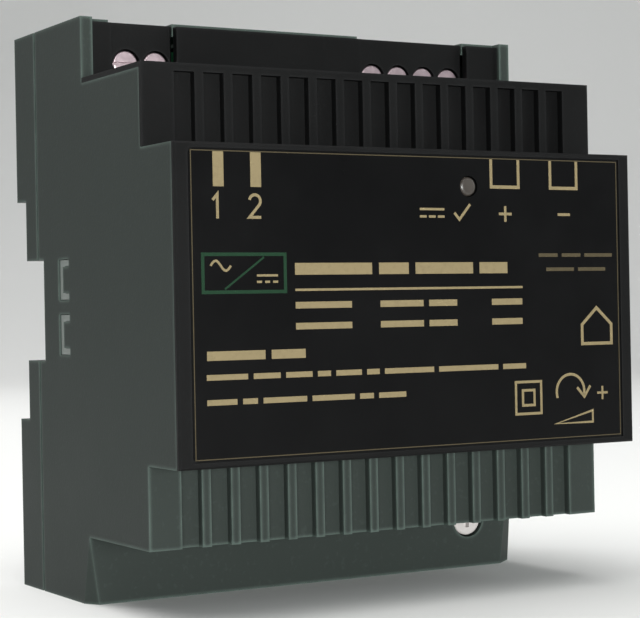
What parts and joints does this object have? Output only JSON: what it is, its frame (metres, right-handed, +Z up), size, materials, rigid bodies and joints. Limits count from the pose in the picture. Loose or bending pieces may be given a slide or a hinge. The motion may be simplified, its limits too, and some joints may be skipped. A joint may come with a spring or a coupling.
{
  "type": "din rail power supply",
  "caption": "Stepped grey modular case with a black front, screw terminals behind the top step, an adjusting trimmer at the foot and a rail seat with a sprung latch at the back.",
  "frame": {"origin": "centre of the bounding box's bottom face, at the foot of the case", "axes": "+X to the right seen from the front, +Y from the nose to the rail, +Z up along the height"},
  "size_m": [0.0804, 0.0596, 0.09],
  "materials": {
    "grey_plastic": "moulded grey thermoplastic, fine spark texture",
    "black_cover": "moulded black thermoplastic",
    "label_film": "black printed film, satin",
    "latch_plastic": "black nylon",
    "spring_steel": "spring wire",
    "pale_plastic": "unpigmented nylon",
    "terminal_plastic": "black flame-retardant nylon",
    "nickel_screw": "nickel-plated steel",
    "plated_cage": "zinc-plated steel",
    "tinned_copper": "tinned copper strip",
    "circuit_board": "glass-epoxy board with green solder resist",
    "insulation": "thin polyester sheet",
    "board_screw": "zinc-plated steel",
    "clear_plastic": "clear acrylic",
    "lamp": "green diffused epoxy",
    "trimmer_case": "blue moulded case",
    "white_plastic": "white nylon",
    "fuse_glass": "glass tube with plated caps",
    "disc_green": "dipped epoxy",
    "film_capacitor": "yellow moulded box",
    "ferrite": "ferrite",
    "copper_winding": "enamelled copper wire",
    "epoxy_black": "moulded epoxy",
    "capacitor_sleeve": "aluminium can with shrink sleeve",
    "bobbin_plastic": "phenolic",
    "winding_tape": "yellow polyester tape over copper",
    "heatsink_alloy": "extruded alloy",
    "wound_ferrite": "copper wire on a ferrite drum",
    "resistor_body": "lacquered axial resistor",
    "disc_blue": "dipped epoxy"
  },
  "bodies": {
    "case": {"block_ac": "terminal_plastic", "block_dc": "terminal_plastic", "bridge": "epoxy_black", "bulk_cap": "capacitor_sleeve", "cm_choke_core": "ferrite", "cm_choke_winding": "copper_winding", "contact_ac_1": "tinned_copper", "contact_ac_2": "tinned_copper", "contact_dc_1": "tinned_copper", "contact_dc_2": "tinned_copper", "contact_dc_3": "tinned_copper", "contact_dc_4": "tinned_copper", "control_ic": "epoxy_black", "front_cover": "black_cover", "fuse": "fuse_glass", "heatsink_primary": "heatsink_alloy", "heatsink_screws": "board_screw", "heatsink_secondary": "heatsink_alloy", "housing": "grey_plastic", "insulation_sheet": "insulation", "label": "label_film", "latch_spring": "spring_steel", "led": "lamp", "led_pipe": "clear_plastic", "mosfet": "epoxy_black", "ntc": "disc_green", "optocoupler": "epoxy_black", "output_cap_1": "capacitor_sleeve", "output_cap_2": "capacitor_sleeve", "output_choke": "wound_ferrite", "pcb": "circuit_board", "pcb_screws": "board_screw", "rear_base": "grey_plastic", "rectifier": "epoxy_black", "resistors": "resistor_body", "snap_strip_left": "pale_plastic", "snap_strip_right": "pale_plastic", "terminal_cover": "black_cover", "transformer_bobbin": "bobbin_plastic", "transformer_core": "ferrite", "transformer_winding": "winding_tape", "trimmer_body": "trimmer_case", "x_cap": "film_capacitor", "y_cap": "disc_blue"},
    "screw_ac_1": {"screw_ac_1": "nickel_screw"},
    "cage_ac_1": {"cage_ac_1": "plated_cage"},
    "screw_ac_2": {"screw_ac_2": "nickel_screw"},
    "cage_ac_2": {"cage_ac_2": "plated_cage"},
    "screw_dc_1": {"screw_dc_1": "nickel_screw"},
    "cage_dc_1": {"cage_dc_1": "plated_cage"},
    "screw_dc_2": {"screw_dc_2": "nickel_screw"},
    "cage_dc_2": {"cage_dc_2": "plated_cage"},
    "screw_dc_3": {"screw_dc_3": "nickel_screw"},
    "cage_dc_3": {"cage_dc_3": "plated_cage"},
    "screw_dc_4": {"screw_dc_4": "nickel_screw"},
    "cage_dc_4": {"cage_dc_4": "plated_cage"},
    "knob": {"trimmer_knob": "white_plastic"},
    "latch": {"rail_latch": "latch_plastic"}
  },
  "joints": [
    {"name": "turn_ac_1", "type": "hinge", "parent": "case", "child": "screw_ac_1", "pos_m": [-0.0317, 0.00425, 0.0833], "axis": [0, 1, 0], "range_deg": [0, 1260.5]},
    {"name": "clamp_ac_1", "type": "slide", "parent": "case", "child": "cage_ac_1", "axis": [0, -1, 0], "range_m": [0, 0.00175]},
    {"name": "turn_ac_2", "type": "hinge", "parent": "case", "child": "screw_ac_2", "pos_m": [-0.02662, 0.00425, 0.0833], "axis": [0, 1, 0], "range_deg": [0, 1260.5]},
    {"name": "clamp_ac_2", "type": "slide", "parent": "case", "child": "cage_ac_2", "axis": [0, -1, 0], "range_m": [0, 0.00175]},
    {"name": "turn_dc_1", "type": "hinge", "parent": "case", "child": "screw_dc_1", "pos_m": [0.01345, 0.00425, 0.0833], "axis": [0, 1, 0], "range_deg": [0, 1260.5]},
    {"name": "clamp_dc_1", "type": "slide", "parent": "case", "child": "cage_dc_1", "axis": [0, -1, 0], "range_m": [0, 0.00175]},
    {"name": "turn_dc_2", "type": "hinge", "parent": "case", "child": "screw_dc_2", "pos_m": [0.01853, 0.00425, 0.0833], "axis": [0, 1, 0], "range_deg": [0, 1260.5]},
    {"name": "clamp_dc_2", "type": "slide", "parent": "case", "child": "cage_dc_2", "axis": [0, -1, 0], "range_m": [0, 0.00175]},
    {"name": "turn_dc_3", "type": "hinge", "parent": "case", "child": "screw_dc_3", "pos_m": [0.02361, 0.00425, 0.0833], "axis": [0, 1, 0], "range_deg": [0, 1260.5]},
    {"name": "clamp_dc_3", "type": "slide", "parent": "case", "child": "cage_dc_3", "axis": [0, -1, 0], "range_m": [0, 0.00175]},
    {"name": "turn_dc_4", "type": "hinge", "parent": "case", "child": "screw_dc_4", "pos_m": [0.02869, 0.00425, 0.0833], "axis": [0, 1, 0], "range_deg": [0, 1260.5]},
    {"name": "clamp_dc_4", "type": "slide", "parent": "case", "child": "cage_dc_4", "axis": [0, -1, 0], "range_m": [0, 0.00175]},
    {"name": "turn_trimmer", "type": "hinge", "parent": "case", "child": "knob", "pos_m": [0.0298, 0.00235, 0.0081], "axis": [0, 1, 0], "range_deg": [-120, 120]},
    {"name": "pull_latch", "type": "slide", "parent": "case", "child": "latch", "axis": [0, 0, -1], "range_m": [0, 0.004], "stiffness_N_per_m": 1200, "springref_m": -0.002, "deforming": ["latch_spring"]}
  ],
  "couplings": [
    {"joint": "turn_ac_1", "follows": "clamp_ac_1", "rad_per_m": 12566},
    {"joint": "turn_ac_2", "follows": "clamp_ac_2", "rad_per_m": 12566},
    {"joint": "turn_dc_1", "follows": "clamp_dc_1", "rad_per_m": 12566},
    {"joint": "turn_dc_2", "follows": "clamp_dc_2", "rad_per_m": 12566},
    {"joint": "turn_dc_3", "follows": "clamp_dc_3", "rad_per_m": 12566},
    {"joint": "turn_dc_4", "follows": "clamp_dc_4", "rad_per_m": 12566}
  ]
}
